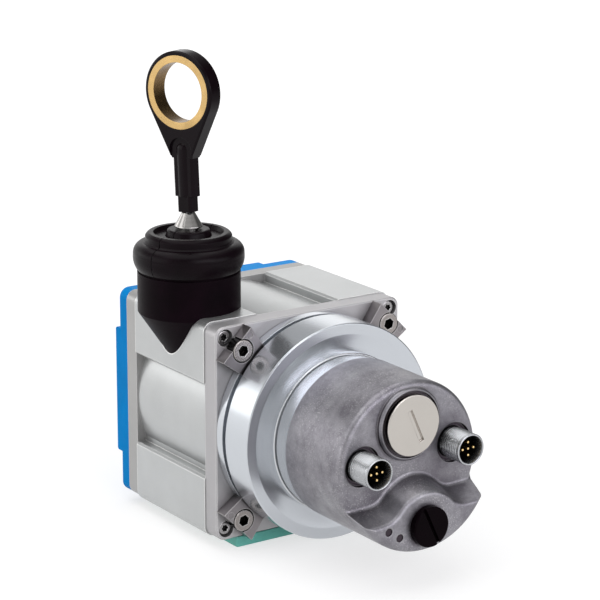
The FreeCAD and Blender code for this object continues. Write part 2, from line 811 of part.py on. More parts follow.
def clip_eyelet():
    """Moulded clip: collar, stem with its pin tube and the teardrop eye."""
    stem_low = collar_gap + collar_height
    stem_high = stem_low + stem_height
    beyond = 2 * eye_thick

    def slab(points, thick):
        wire = ring_wire(points, lambda p: V(-thick / 2, p[0], p[1]))
        return Part.Face(wire).extrude(V(thick, 0, 0))

    def column(width, depth, low, high):
        box = Part.makeBox(depth, width, high - low, V(-depth / 2, -width / 2, low))
        upright = [e for e in box.Edges if e.BoundBox.ZLength > 0.9 * (high - low)]
        return box.makeChamfer(0.9, upright)

    eye = slab(eye_outline(eye_radius, stem_width / 2, stem_high - 0.5), eye_thick)
    rims = [e for e in eye.Edges if e.BoundBox.XLength < 1e-6]
    eye = eye.makeChamfer(eye_edge, rims)
    arch = slab([(arch_radius, stem_high - 2), (arch_radius, arch_height),
                 (0, arch_height + arch_radius, -arch_radius, arch_height),
                 (-arch_radius, stem_high - 2)], beyond)
    web = slab([(beyond, stem_high - 3), (beyond, eye_height), (-beyond, eye_height),
                (-beyond, stem_high - 3)], arch_web)
    eye = eye.cut(arch.cut(web))
    shape = eye.fuse(column(stem_width, stem_depth, stem_low, stem_high))
    shape = shape.fuse(column(collar_width, collar_depth, collar_gap, stem_low + 0.5))
    slant = tube_radius * math.sqrt(0.5)
    shape = shape.fuse(turned([(0, stem_low), (tube_radius, stem_low), (tube_radius, tube_end),
                               (slant, tube_end + slant, 0, tube_end + tube_radius)]))
    bush_hole = turned_by(disc(eye_bush_radius, -beyond, beyond), 90, V(0, 1, 0))
    shape = shape.cut(moved(bush_hole, z=eye_height))
    shape = shape.cut(disc(pin_radius + pin_clearance, -1, pin_reach + 1))
    shape = shape.cut(disc(pin_head_radius + pin_clearance, pin_reach - pin_clearance,
                           pin_reach + pin_head_length + pin_clearance))
    return clip_frame(shape.removeSplitter())


def eyelet_bush():
    """Brass bush of the eye, flush on both faces."""
    shape = tube(eye_bush_radius, eye_bore_radius, -eye_thick / 2, eye_thick / 2)
    shape = turned_by(shape, 90, V(0, 1, 0))
    return clip_frame(moved(shape, z=eye_height))


# Rotary encoder

def nose_wire(height, drop):
    """Outline of the nose at one height: a crown between two shoulders, made of tangent arcs."""
    shoulder = nose_shoulder - drop
    crown = nose_crown - drop
    crown_centre = crown - crown_radius
    valley_centre = shoulder + valley_radius
    rise = valley_centre - crown_centre
    valley_x = math.sqrt((crown_radius + valley_radius) ** 2 - rise ** 2)
    lean = math.atan2(valley_x, rise)
    tangent = (crown_radius * math.sin(lean), crown_centre + crown_radius * math.cos(lean))
    low = valley_centre - valley_radius * math.cos(lean / 2)
    side = valley_x - valley_radius * math.sin(lean / 2)
    wide = cast_radius + 4
    deep = -(cast_radius + 4)
    return ring_wire([(-wide, deep), (wide, deep), (wide, shoulder), (valley_x, shoulder),
                      (side, low, tangent[0], tangent[1]), (0, crown, -tangent[0], tangent[1]),
                      (-side, low, -valley_x, shoulder), (-wide, shoulder)],
                     lambda p: V(p[0], p[1], height))


def nose_block(low, high, inset):
    """Drafted block whose top edge is the wavy step of the encoder's face."""
    span = nose_height - face_height
    draft_low = inset + nose_draft * (low - face_height) / span
    draft_high = inset + nose_draft * (high - face_height) / span
    return Part.makeLoft([nose_wire(low, draft_low), nose_wire(high, draft_high)], True, True)


def connector_places():
    return [(-connector_spacing / 2, connector_rise), (connector_spacing / 2, connector_rise)]


def encoder_housing():
    """Cast housing: a cylinder whose lower front stands out as a nose behind a wavy step."""
    shape = rounded_cast(disc(cast_radius, cast_start, face_height).fuse(nose()))
    boss = disc(plug_boss_radius, face_height - 1, face_height + plug_boss_height)
    boss = boss.makeChamfer(plug_boss_bevel, edges_at(boss, face_height + plug_boss_height))
    boss = moved(boss, y=plug_y).common(disc(cast_radius - rim_round, face_height - 2, nose_height))
    shape = shape.fuse(boss)
    shape = shape.cut(disc(cast_inner, cast_start - 1, cast_floor))
    hollow = disc(cast_inner, cast_floor - 1, nose_height - cast_wall)
    hollow = hollow.common(nose_block(cast_floor - 2, nose_height - cast_wall + 1, cast_wall))
    shape = shape.cut(hollow)
    seal_seat = plug_thread_radius + seal_section * 1.5
    for radius, low in ((plug_boss_radius - plug_boss_wall, face_height + 0.2),
                        (seal_seat, face_height - 0.6), (plug_thread_radius, cast_floor - 1)):
        shape = shape.cut(moved(disc(radius, low, nose_height), y=plug_y))
    seat_low = face_height - connector_seat_depth
    for x, y in connector_places():
        shape = shape.cut(moved(disc(connector_seat_radius, seat_low, nose_height), x, y))
        shape = shape.cut(moved(disc(connector_radius, cast_floor - 1, nose_height), x, y))
    shape = shape.cut(moved(disc(service_thread_radius, cast_floor, nose_height + 1), y=service_plug_y))
    seal_radius = service_thread_radius + seal_section * 1.4
    shape = shape.cut(moved(disc(seal_radius, nose_height - 0.8, nose_height + 1), y=service_plug_y))
    for x, y in lamp_places:
        shape = shape.cut(moved(disc(lamp_radius, cast_floor, nose_height + 1), x, y))
    return shape


def nose():
    """Nose with its top edges rounded along the wavy step and round the rim."""
    block = nose_block(face_height - 2, nose_height, 0.0)
    step = [e for e in edges_at(block, nose_height) if e.BoundBox.YMin > -cast_radius]
    block = block.makeFillet(nose_edge_round, [e for e in step if e.BoundBox.XLength < 2 * cast_radius])
    post = disc(cast_radius, face_height - 1, nose_height)
    return block.common(post.makeFillet(nose_round, edges_at(post, nose_height)))


def rounded_cast(shape):
    """Cast rounds of the rim of the face and of the foot of the step."""
    def is_step(edge):
        middle = edge.valueAt((edge.FirstParameter + edge.LastParameter) / 2)
        return math.hypot(middle.x, middle.y) < cast_radius - 1

    shape = shape.removeSplitter()
    shape = shape.makeFillet(rim_round, [e for e in edges_at(shape, face_height) if not is_step(e)])
    return shape.makeFillet(nose_foot_round, [e for e in edges_at(shape, face_height) if is_step(e)])


def encoder_flange():
    """Turned flange of the encoder: rim, groove, neck and the spigots at both ends."""
    bore = encoder_bearing_radius
    low = encoder_spigot_end + 1
    seal_low = cast_start + 3
    return turned([(bore, low), (encoder_spigot_radius - guide_gap, low),
                   (encoder_spigot_radius - guide_gap, encoder_rim_start),
                   (encoder_rim_radius, encoder_rim_start), (encoder_rim_radius, encoder_rim_end - 0.3),
                   (encoder_rim_radius - 0.3, encoder_rim_end),
                   (encoder_neck_radius - encoder_neck_groove, encoder_rim_end),
                   (encoder_neck_radius - encoder_neck_groove, encoder_rim_end + 0.6),
                   (encoder_neck_radius, encoder_rim_end + 0.6), (encoder_neck_radius, cast_start),
                   (cast_inner - guide_gap, cast_start), (cast_inner - guide_gap, seal_low),
                   (cast_inner - seal_section, seal_low), (cast_inner - seal_section, seal_low + 1.6),
                   (cast_inner - guide_gap, seal_low + 1.6),
                   (cast_inner - guide_gap, cast_start + encoder_register),
                   (bore, cast_start + encoder_register)])


def housing_seal():
    """Ring seal between the encoder's flange and its cast housing."""
    low = cast_start + 3
    return tube(cast_inner, cast_inner - seal_section, low + 0.1, low + 1.5)


def encoder_bearing_seats():
    low = encoder_spigot_end + 2
    high = cast_start + encoder_register - 1
    return [(low, low + encoder_bearing_width), (high - encoder_bearing_width, high)]


def encoder_bearing_rings(outer_side):
    split = (encoder_bearing_radius + encoder_shaft_radius) / 2
    rings = []
    for low, high in encoder_bearing_seats():
        if outer_side:
            rings.append(tube(encoder_bearing_radius, split + 0.05, low, high))
        else:
            rings.append(tube(split, encoder_shaft_radius, low, high))
    return rings


def encoder_shaft():
    """Encoder shaft with the hub that carries the code disc."""
    start = 8.0
    hub_low = disc_height - 3
    return turned([(0, start), (encoder_shaft_radius, start), (encoder_shaft_radius, hub_low),
                   (disc_hub_radius, hub_low), (disc_hub_radius, disc_height),
                   (encoder_shaft_radius - 1, disc_height),
                   (encoder_shaft_radius - 1, disc_height + 3.5), (0, disc_height + 3.5)])


def code_disc():
    return tube(disc_radius, encoder_shaft_radius - 1, disc_height, disc_height + disc_thick)


def sensor_board():
    """Round circuit board above the code disc, with its scanning chip."""
    shape = tube(board_radius, board_hole_radius, board_height, board_height + board_thick)
    chip = Part.makeBox(chip_length, chip_width, chip_height,
                        V(chip_place, -chip_width / 2, board_height - chip_height))
    ledge = tube(cast_inner, board_radius, board_height, board_height + board_thick)
    return shape.fuse(chip).fuse(ledge)


def connector_shells():
    """Shells of the two male round connectors, their threads left plain."""
    low = cast_floor - connector_inside
    bore = connector_bore_radius
    shell = turned([(bore, low), (connector_radius, low), (connector_radius, connector_top - connector_edge),
                    (connector_radius - connector_edge, connector_top), (bore, connector_top)])
    return [moved(shell, x, y) for x, y in connector_places()]


def connector_inserts():
    """Insulating inserts with a coding key along the wall."""
    low = cast_floor - 3.0
    base = connector_top - connector_well
    insert = disc(connector_bore_radius, low, base)
    key = Part.makeBox(1.0, 1.3, connector_well, V(-0.5, connector_bore_radius - 1.3, base - 1.0))
    key = key.common(disc(connector_bore_radius - 0.02, base - 1, connector_top))
    insert = insert.fuse(turned_by(key, connector_key_turn))
    for x, y in contact_places():
        insert = insert.cut(moved(disc(contact_radius, low - 1, base + 1), x, y))
    return [moved(insert, x, y) for x, y in connector_places()]


def contact_places():
    spread = contact_circle
    return [(0, 0), (spread, 0), (-spread, 0), (0, spread), (0, -spread)]


def connector_pins():
    low = cast_floor - 4.0
    top = connector_top - contact_inset
    pin = disc(contact_radius, low, top)
    pin = pin.makeFillet(contact_radius * 0.6, edges_at(pin, top))
    return [moved(pin, x + cx, y + cy) for x, y in connector_places() for cx, cy in contact_places()]


def slot_cutter(length, width, depth, top, turn):
    box = Part.makeBox(width, length, depth + 1, V(-width / 2, -length / 2, top - depth))
    return turned_by(box, turn)


def switch_plug():
    """Slotted screw plug over the setting switches."""
    shape = disc(plug_radius, face_height + 0.2, plug_top)
    shape = shape.makeFillet(0.3, edges_at(shape, plug_top))
    shape = shape.fuse(disc(plug_thread_radius, cast_floor - 1, face_height + 0.2))
    shape = shape.cut(disc(plug_thread_radius - 2, cast_floor - 2, face_height - 1))
    slot = slot_cutter(plug_slot_length, plug_slot_width, plug_slot_depth, plug_top, plug_slot_turn)
    shape = shape.cut(moved(slot, plug_slot_x, plug_slot_y))
    return moved(shape, y=plug_y)


def switch_plug_seal():
    outer = plug_thread_radius + seal_section * 1.5
    return moved(tube(outer, plug_thread_radius, face_height - 0.6, face_height + 0.2), y=plug_y)


def service_plug():
    """Black slotted screw plug in the nose."""
    top = nose_height + service_plug_height
    shape = disc(service_plug_radius, nose_height, top)
    shape = shape.makeFillet(0.6, edges_at(shape, top))
    shape = shape.fuse(disc(service_thread_radius, nose_height - service_thread_length, nose_height))
    shape = shape.cut(slot_cutter(2 * service_plug_radius + 1, service_slot_width, service_slot_depth, top,
                                  service_slot_turn))
    return moved(shape, y=service_plug_y)


def service_plug_seal():
    outer = service_thread_radius + seal_section * 1.4
    return moved(tube(outer, service_thread_radius, nose_height - 0.8, nose_height), y=service_plug_y)


def indicator_lenses():
    lens = disc(lamp_radius, nose_height - lamp_depth, nose_height - lamp_inset)
    return [moved(lens, x, y) for x, y in lamp_places]


save("front_plate", front_plate(), on_axis)
save("drum_housing", drum_housing())
save("rear_plate", rear_plate(), on_axis)
save("base_pad", base_pad())
save("spring_cover", spring_cover(), on_axis)
save("plate_screws", plate_screws(), on_axis)
save("cover_screws", cover_screws(), on_axis)
save("pad_screws", pad_screws())
save("mounting_flange", mounting_flange(), on_axis)
save("servo_clamps", servo_clamps(), on_axis)
save("clamp_screws", clamp_screws(), on_axis)
save("wire_guide", wire_guide())
save("guide_bush", guide_bush())
save("wire_wiper", wire_wiper())
save("rubber_bumper", rubber_bumper())
save("bearing_outer_rings", bearing_rings(True), on_axis)
save("bearing_inner_rings", bearing_rings(False), on_axis)
save("bearing_balls", bearing_balls(), on_axis)
save("power_spring", power_spring(), on_axis)
save("drum", drum(), on_axis)
save("drum_shaft", drum_shaft(), on_axis)
save("wire_winding", wire_winding(), on_axis)
save("shaft_coupling", shaft_coupling(), on_axis)
save("measuring_wire", measuring_wire())
save("wire_ferrule", wire_ferrule())
save("swivel_pin", swivel_pin())
save("clip_eyelet", clip_eyelet())
save("eyelet_bush", eyelet_bush())
save("encoder_flange", encoder_flange(), on_encoder)
save("encoder_housing", encoder_housing(), on_encoder)
save("housing_seal", housing_seal(), on_encoder)
save("encoder_bearing_outer_rings", encoder_bearing_rings(True), on_encoder)
save("encoder_bearing_inner_rings", encoder_bearing_rings(False), on_encoder)
save("encoder_shaft", encoder_shaft(), on_encoder)
save("code_disc", code_disc(), on_encoder)
save("sensor_board", sensor_board(), on_encoder)
save("connector_shells", connector_shells(), on_encoder)
save("connector_inserts", connector_inserts(), on_encoder)
save("connector_pins", connector_pins(), on_encoder)
save("switch_plug", switch_plug(), on_encoder)
save("switch_plug_seal", switch_plug_seal(), on_encoder)
save("service_plug", service_plug(), on_encoder)
save("service_plug_seal", service_plug_seal(), on_encoder)
save("indicator_lenses", indicator_lenses(), on_encoder)
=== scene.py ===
import math

import bmesh
import bpy
from mathutils import Matrix, Vector


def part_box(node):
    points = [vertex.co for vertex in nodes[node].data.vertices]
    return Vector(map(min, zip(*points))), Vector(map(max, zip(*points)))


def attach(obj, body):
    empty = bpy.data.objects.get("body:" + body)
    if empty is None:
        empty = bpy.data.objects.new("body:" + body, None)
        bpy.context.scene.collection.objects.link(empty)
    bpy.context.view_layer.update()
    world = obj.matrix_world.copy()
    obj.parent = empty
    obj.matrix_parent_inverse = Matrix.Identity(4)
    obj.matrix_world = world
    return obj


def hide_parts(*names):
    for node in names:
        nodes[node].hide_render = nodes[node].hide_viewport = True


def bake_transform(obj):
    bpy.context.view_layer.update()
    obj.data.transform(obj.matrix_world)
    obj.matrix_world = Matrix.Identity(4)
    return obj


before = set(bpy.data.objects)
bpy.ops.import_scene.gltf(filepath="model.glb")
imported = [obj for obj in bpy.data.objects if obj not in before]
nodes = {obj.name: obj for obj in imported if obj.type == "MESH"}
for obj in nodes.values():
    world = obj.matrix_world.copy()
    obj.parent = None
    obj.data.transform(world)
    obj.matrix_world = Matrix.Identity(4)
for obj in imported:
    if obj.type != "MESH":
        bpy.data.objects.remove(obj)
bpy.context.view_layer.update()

# Places on the object, in metres
AXIS_Z = 0.04625
AXIS = Vector((0.0, 0.0, AXIS_Z))
FRONT_Y = -0.03265
WIRE = Vector((-0.0335, -0.00025, 0.0))
EYE_AXIS = (-0.936, -0.352, 0.0)
ENCODER_TURN = math.radians(2.4)
FULL_TURN = 2 * math.pi

# Measuring wire: its mesh, with the twist in radians per metre, and the strand lines of its material
WIRE_SIDES = 42
WIRE_ROWS = 90
WIRE_STRANDS = 6
WIRE_TWIST = 1400.0
WIRE_GROOVE = 0.14
LINES_AROUND = 7.0
LINES_PER_METRE = 900.0
WINDING_PITCH = 0.00135

# Connector shells
CONNECTOR_X = 0.0206
CONNECTOR_UP = 0.0033
SHELL_SIDES = 64
SHELL_RADIUS = 0.006
SHELL_BORE = 0.00525
THREAD_PITCH = 0.001
THREAD_DEPTH = 0.00032
THREAD_ROWS = 8
THREAD_END = 0.0005
THREAD_FADE = 0.0006
RIM_BEVEL = 0.00025
BORE_BEVEL = 0.0002

# Screws of the end plates
SCREW_SIDES = 72
SCREW_HEAD = 0.0026
SCREW_HEAD_HEIGHT = 0.0024
SCREW_SHANK = 0.0015
SCREW_LENGTH = 0.0124
STAR_SOCKET = 0.00125
STAR_POINTS = 6
STAR_WAVE = 0.14
STAR_TURN = 0.4

# Looks
CORNER_SAMPLES = 6
EDGE_MATCH = (0.90, 0.995)
LATHE_PITCH = 0.00042
NOISE_SPAN = (0.3, 0.7)
# Pale tone and width of the painted highlight on edges
EDGE_HIGHLIGHT_TONE = (0.90, 0.90, 0.88)
EDGE_HIGHLIGHT_WIDTH = 0.0007
# Share of a screw's colour left under the painted shade in sockets and counterbores
SOCKET_SHADE = 0.06
CODE_LINES = 360.0

# Light levels of the studio, and how far each fade reaches
FLOOR_SIZE = 6.0
FLOOR_COLOR = 0.45
FLOOR_GLOW = (0.62, 0.86)
GLOW_REACH = (0.2, 1.2)
FRONT_FADE = 0.64
FRONT_REACH = (-0.75, -0.05)
SIDE_FADE = 0.12
SIDE_REACH = (0.20, 0.50)
SKY_DIFFUSE = 0.42
SKY = [(0.0, 1.0), (0.36, 1.0), (0.50, 0.42), (0.66, 0.42), (0.82, 1.0)]
SKY_FRONT_FADE = 0.74
SKY_FRONT_REACH = (-0.9, 0.1)
SKY_SIDE_REACH = (0.62, 0.85)
COOL_LIGHT = (0.95, 0.94, 1.0)

# Camera
SENSOR_MM = 36.0
IMAGE_PIXELS = 600.0
FOCAL_PIXELS = 2454.49
CAMERA_PLACE = (-0.509215, -0.774479, 0.339028)
CAMERA_RIGHT = (0.82702234, -0.56216307, 0.00259347)
CAMERA_UP = (0.14614261, 0.21944685, 0.96461672)
CAMERA_BACK = (-0.54284102, -0.79738057, 0.26364343)


# Node helpers

class Nodes:
    """Short calls for the nodes of one tree."""

    def __init__(self, tree):
        self.tree = tree

    def node(self, kind, inputs=(), **props):
        made = self.tree.nodes.new(kind)
        for key, value in props.items():
            setattr(made, key, value)
        for key, value in dict(inputs).items():
            if isinstance(value, bpy.types.NodeSocket):
                self.tree.links.new(value, made.inputs[key])
            else:
                made.inputs[key].default_value = value
        return made

    def ramp(self, value, stops):
        made = self.node("ShaderNodeValToRGB", {"Fac": value})
        elements = made.color_ramp.elements
        while len(elements) < len(stops):
            elements.new(0.5)
        for element, (place, color) in zip(elements, stops):
            element.position = place
            element.color = (*color, 1.0)
        return made.outputs["Color"]

    def math(self, operation, a, b=0.0, clamp=False):
        return self.node("ShaderNodeMath", {0: a, 1: b}, operation=operation, use_clamp=clamp).outputs[0]

    def span(self, value, low, high, to_low, to_high):
        return self.node("ShaderNodeMapRange", {"Value": value, "From Min": low, "From Max": high,
                                                "To Min": to_low, "To Max": to_high}).outputs["Result"]

    def split(self, vector):
        return self.node("ShaderNodeSeparateXYZ", {0: vector}).outputs

    def seen_by(self, *kinds):
        """One for the named kinds of ray and nothing for the others."""
        path = self.node("ShaderNodeLightPath")
        total = path.outputs[kinds[0]]
        for kind in kinds[1:]:
            total = self.math("ADD", total, path.outputs[kind], clamp=True)
        return total


class Mat(Nodes):
    """A material with its shader and short calls for the nodes that feed it."""

    def __init__(self, name, color, rough, metal=0.0, **sockets):
        self.mat = bpy.data.materials.new(name)
        self.mat.use_nodes = True
        super().__init__(self.mat.node_tree)
        self.shader = self.tree.nodes["Principled BSDF"]
        self.set("Base Color", (*color, 1.0))
        self.set("Roughness", rough)
        self.set("Metallic", metal)
        for key, value in sockets.items():
            self.set(key.replace("_", " "), value)
        self.place = self.node("ShaderNodeTexCoord").outputs["Object"]
        self.color = color

    def set(self, socket, value):
        self.shader.inputs[socket].default_value = value

    def link(self, source, socket):
        self.tree.links.new(source, self.shader.inputs[socket])

    def noise(self, scale, detail=4.0, rough=0.55, at=None):
        return self.node("ShaderNodeTexNoise", {"Vector": at or self.place, "Scale": scale, "Detail": detail,
                                                "Roughness": rough}).outputs["Fac"]

    def mix(self, factor, a, b):
        """A where the factor is nothing and B where it is one."""
        made = self.node("ShaderNodeMix", data_type="RGBA")
        for socket, value in ((0, factor), (6, a), (7, b)):
            if isinstance(value, bpy.types.NodeSocket):
                self.tree.links.new(value, made.inputs[socket])
            else:
                made.inputs[socket].default_value = (*value, 1.0)
        return made.outputs[2]

    def bump(self, height, strength, distance, normal=None):
        inputs = {"Height": height, "Strength": strength, "Distance": distance}
        if normal is not None:
            inputs["Normal"] = normal
        return self.node("ShaderNodeBump", inputs).outputs["Normal"]

    def edge(self, radius):
        return self.node("ShaderNodeBevel", {"Radius": radius}, samples=CORNER_SAMPLES).outputs["Normal"]

    def edges(self, radius):
        """One on an edge of the solid and nothing on its faces."""
        flat = self.node("ShaderNodeNewGeometry").outputs["Normal"]
        match = self.node("ShaderNodeVectorMath", {0: flat, 1: self.edge(radius)}, operation="DOT_PRODUCT")
        return self.span(match.outputs["Value"], *EDGE_MATCH, 1.0, 0.0)

    def open_sky(self, distance, low=0.35, high=0.85):
        """One on an open face and nothing deep in a corner."""
        seen = self.node("ShaderNodeAmbientOcclusion", {"Distance": distance}, samples=CORNER_SAMPLES)
        return self.span(seen.outputs["AO"], low, high, 0.0, 1.0)

    def deeper(self, front, rear, by):
        """One on what lies between two end faces, and nothing on the faces themselves."""
        y = self.split(self.place)[1]
        inside = self.math("MINIMUM", self.math("SUBTRACT", y, front), self.math("SUBTRACT", rear, y))
        return self.span(inside, by / 2, by, 0.0, 1.0)

    def about(self, origin):
        """Coordinates about another origin."""
        return self.node("ShaderNodeVectorMath", {0: self.place, 1: origin}, operation="SUBTRACT").outputs[0]

    def shades(self, value, spread):
        """The base colour, varied by a value between a darker and a lighter tone."""
        dark, light = (tuple(c * level for c in self.color) for level in (1 - spread, 1 + spread))
        tone = self.ramp(value, list(zip(NOISE_SPAN, (dark, light))))
        self.link(tone, "Base Color")
        return tone

    def roughness(self, value, low, high):
        self.link(self.span(value, *NOISE_SPAN, low, high), "Roughness")


def finish_with(m, *names):
    for name in names:
        slots = nodes[name].data.materials
        slots.clear()
        slots.append(m.mat)


# Metals

def satin_metal(name, color, rough, spread=0.04, bump=0.12, edge=0.00025, metal=1.0, edge_highlight=0.0, corner=0.0,
                reach=0.004, heads_of=None):
    """Satin metal that may have a painted highlight on its edges and painted shade in its corners and screw
    sockets.
    """
    m = Mat(name, color, rough, metal)
    fine = m.noise(2200.0, 3.0, 0.7)
    tone = m.shades(m.noise(60.0, 5.0), spread)
    if corner:
        # Painted shade: the colour darkens in corners and recesses, where the surroundings are hidden
        tone = m.mix(m.open_sky(reach), tuple(c * corner for c in color), tone)
    if edge_highlight:
        # Painted highlight: a pale tone along the solid's edges
        tone = m.mix(m.math("MULTIPLY", m.edges(EDGE_HIGHLIGHT_WIDTH), edge_highlight), tone, EDGE_HIGHLIGHT_TONE)
    if heads_of:
        # Painted shade: the screws go dark below their head faces, in the sockets and on the head sides
        low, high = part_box(heads_of)
        tone = m.mix(m.deeper(low.y, high.y, 0.0004), tone, tuple(c * SOCKET_SHADE for c in color))
    m.link(tone, "Base Color")
    m.roughness(fine, rough - 0.06, rough + 0.06)
    m.link(m.bump(fine, bump, 0.00003, m.edge(edge)), "Normal")
    return m


def turned_metal(name, color, rough, centre, axis, anisotropy=0.75, spread=0.05, metal=1.0):
    """Lathe-turned metal: fine rings about an axis, whose highlights stretch across them."""
    m = Mat(name, color, rough, metal, Anisotropic=anisotropy)
    x, y, z = m.split(m.about(centre))
    a, b, along = {"Y": (x, z, y), "Z": (x, y, z)}[axis]
    radius = m.math("SQRT", m.math("ADD", m.math("MULTIPLY", a, a), m.math("MULTIPLY", b, b)))
    across = m.math("ADD", radius, along)
    line = m.node("ShaderNodeCombineXYZ", {"X": m.math("DIVIDE", across, LATHE_PITCH)}).outputs[0]
    rings = m.noise(1.0, 2.0, 0.6, line)
    m.shades(rings, spread)
    m.roughness(rings, rough - 0.03, rough + 0.04)
    m.link(m.bump(rings, 0.02, 0.00003, m.edge(0.0003)), "Normal")
    minus = m.math("MULTIPLY", a, -1.0)
    tangent = {"Y": {"X": b, "Z": minus}, "Z": {"X": b, "Y": minus}}[axis]
    m.link(m.node("ShaderNodeCombineXYZ", tangent).outputs[0], "Tangent")
    return m


def cast_metal():
    """Blasted die casting: mottled, with fine bright grains, painted shade in corners and a painted highlight
    on edges.
    """
    dark, pale = (0.140, 0.130, 0.152), (0.335, 0.330, 0.352)
    grain_tone, corner_shade_tone, edge_highlight_tone = (0.56, 0.55, 0.55), (0.040, 0.028, 0.040), (0.60, 0.60, 0.60)
    m = Mat("cast_aluminium", (0.25, 0.25, 0.265), 0.42, 0.9)
    cloud = m.noise(85.0, 7.0, 0.72)
    fine = m.noise(1500.0, 3.0, 0.65)
    grain = m.noise(2000.0, 2.0, 0.6)
    patch = m.span(m.noise(45.0, 3.0), 0.45, 0.60, 0.12, 0.62)
    tone = m.ramp(cloud, list(zip(NOISE_SPAN, (dark, pale))))
    tone = m.mix(m.math("MULTIPLY", m.span(grain, 0.56, 0.68, 0.0, 1.0), patch), tone, grain_tone)
    # Painted shade in the corners and recesses of the casting
    tone = m.mix(m.open_sky(0.011, 0.36, 0.84), corner_shade_tone, tone)
    # Painted highlight: a pale tone along the casting's edges
    tone = m.mix(m.math("MULTIPLY", m.edges(0.0011), 0.22), tone, edge_highlight_tone)
    m.link(tone, "Base Color")
    m.roughness(fine, 0.34, 0.52)
    skin = m.bump(fine, 0.30, 0.00010, m.edge(0.0006))
    m.link(m.bump(grain, 0.25, 0.00012, skin), "Normal")
    return m


def eye_brass():
    """Turned brass, with painted shade making it dark brown inside its bore."""
    bore_shade_tone = (0.040, 0.012, 0.005)
    m = Mat("eye_brass", (0.50, 0.335, 0.14), 0.26, 1.0, Anisotropic=0.75)
    low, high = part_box("eyelet_bush")
    around = m.node("ShaderNodeVectorMath", {0: EYE_AXIS, 1: m.about((low + high) / 2)},
                    operation="CROSS_PRODUCT").outputs[0]
    m.link(around, "Tangent")
    fine = m.noise(1800.0, 3.0, 0.6)
    tone = m.shades(m.noise(120.0, 4.0), 0.15)
    # Painted shade inside the bore
    m.link(m.mix(m.open_sky(0.03, 0.74, 0.94), bore_shade_tone, tone), "Base Color")
    m.roughness(fine, 0.22, 0.32)
    m.link(m.bump(fine, 0.03, 0.00003, m.edge(0.0003)), "Normal")
    return m


def rope_metal(name, straight):
    """Wire of twisted strands, as a straight run or wound about the drum, with painted shade in its grooves.
    """
    m = Mat(name, (0.50, 0.50, 0.52), 0.28, 1.0)
    if straight:
        x, y, z = m.split(m.about(WIRE))
        turn = m.math("DIVIDE", m.math("ARCTAN2", y, x), FULL_TURN)
        phase = m.math("ADD", m.math("MULTIPLY", turn, LINES_AROUND), m.math("MULTIPLY", z, LINES_PER_METRE))
    else:
        phase = m.math("MULTIPLY", m.split(m.about(AXIS))[1], 1 / WINDING_PITCH)
    wave = m.math("SINE", m.math("MULTIPLY", phase, FULL_TURN))
    level = m.span(wave, -1.0, 1.0, 0.0, 1.0)
    # Painted shade: near black in the grooves between strands and turns, pale on the strands
    m.link(m.ramp(level, [(0.1, (0.14, 0.14, 0.15)), (0.6, (0.58, 0.58, 0.60))]), "Base Color")
    m.roughness(m.noise(1500.0), 0.22, 0.36)
    m.link(m.bump(wave, 0.6, 0.0001), "Normal")
    return m


# Below, the pale edges are a painted highlight and corner sets the painted shade in corners.
body_metal = satin_metal("body_aluminium", (0.50, 0.51, 0.51), rough=0.33, metal=0.8, edge_highlight=0.9, corner=0.7)
rear_metal = satin_metal("rear_aluminium", (0.395, 0.39, 0.385), rough=0.40, metal=0.7, edge_highlight=0.4)
plate_metal = satin_metal("plate_aluminium", (0.46, 0.45, 0.46), rough=0.42, metal=0.6, edge_highlight=0.5, corner=0.7)
flange_metal = turned_metal("turned_aluminium", (0.575, 0.60, 0.635), rough=0.20, centre=AXIS, axis="Y",
                            anisotropy=0.45, spread=0.015, metal=0.85)
encoder_metal = turned_metal("encoder_turned", (0.60, 0.615, 0.635), rough=0.22, centre=AXIS, axis="Y",
                             anisotropy=0.45, spread=0.015, metal=0.85)
drum_metal = turned_metal("drum_aluminium", (0.66, 0.67, 0.69), rough=0.3, centre=AXIS, axis="Y")
cone_metal = turned_metal("cone_steel", (0.52, 0.505, 0.49), rough=0.14, centre=WIRE, axis="Z",
                          anisotropy=0.5, spread=0.1)
clamp_metal = satin_metal("clamp_steel", (0.245, 0.228, 0.235), rough=0.34, spread=0.10, corner=0.25,
                          edge_highlight=0.25)
clamp_screw_metal = satin_metal("clamp_screw_steel", (0.30, 0.275, 0.265), rough=0.26, spread=0.12, edge_highlight=0.5,
                                heads_of="clamp_screws")
corner_screw_metal = satin_metal("corner_screw_steel", (0.30, 0.29, 0.295), rough=0.28, spread=0.15, edge_highlight=0.6,
                                 heads_of="plate_screws")
hidden_screw_metal = satin_metal("hidden_screw_steel", (0.12, 0.12, 0.125), rough=0.34, spread=0.15)
shell_metal = satin_metal("connector_nickel", (0.44, 0.45, 0.465), rough=0.24, spread=0.06, bump=0.0,
                          edge=0.0001, metal=0.85, corner=0.06, reach=0.009)
plug_metal = satin_metal("plug_nickel", (0.53, 0.50, 0.465), rough=0.13, spread=0.03, bump=0.0)
bearing_metal = satin_metal("bearing_steel", (0.60, 0.61, 0.63), rough=0.16)
wound_metal = rope_metal("wound_wire", straight=False)
strand_metal = rope_metal("wire_strands", straight=True)

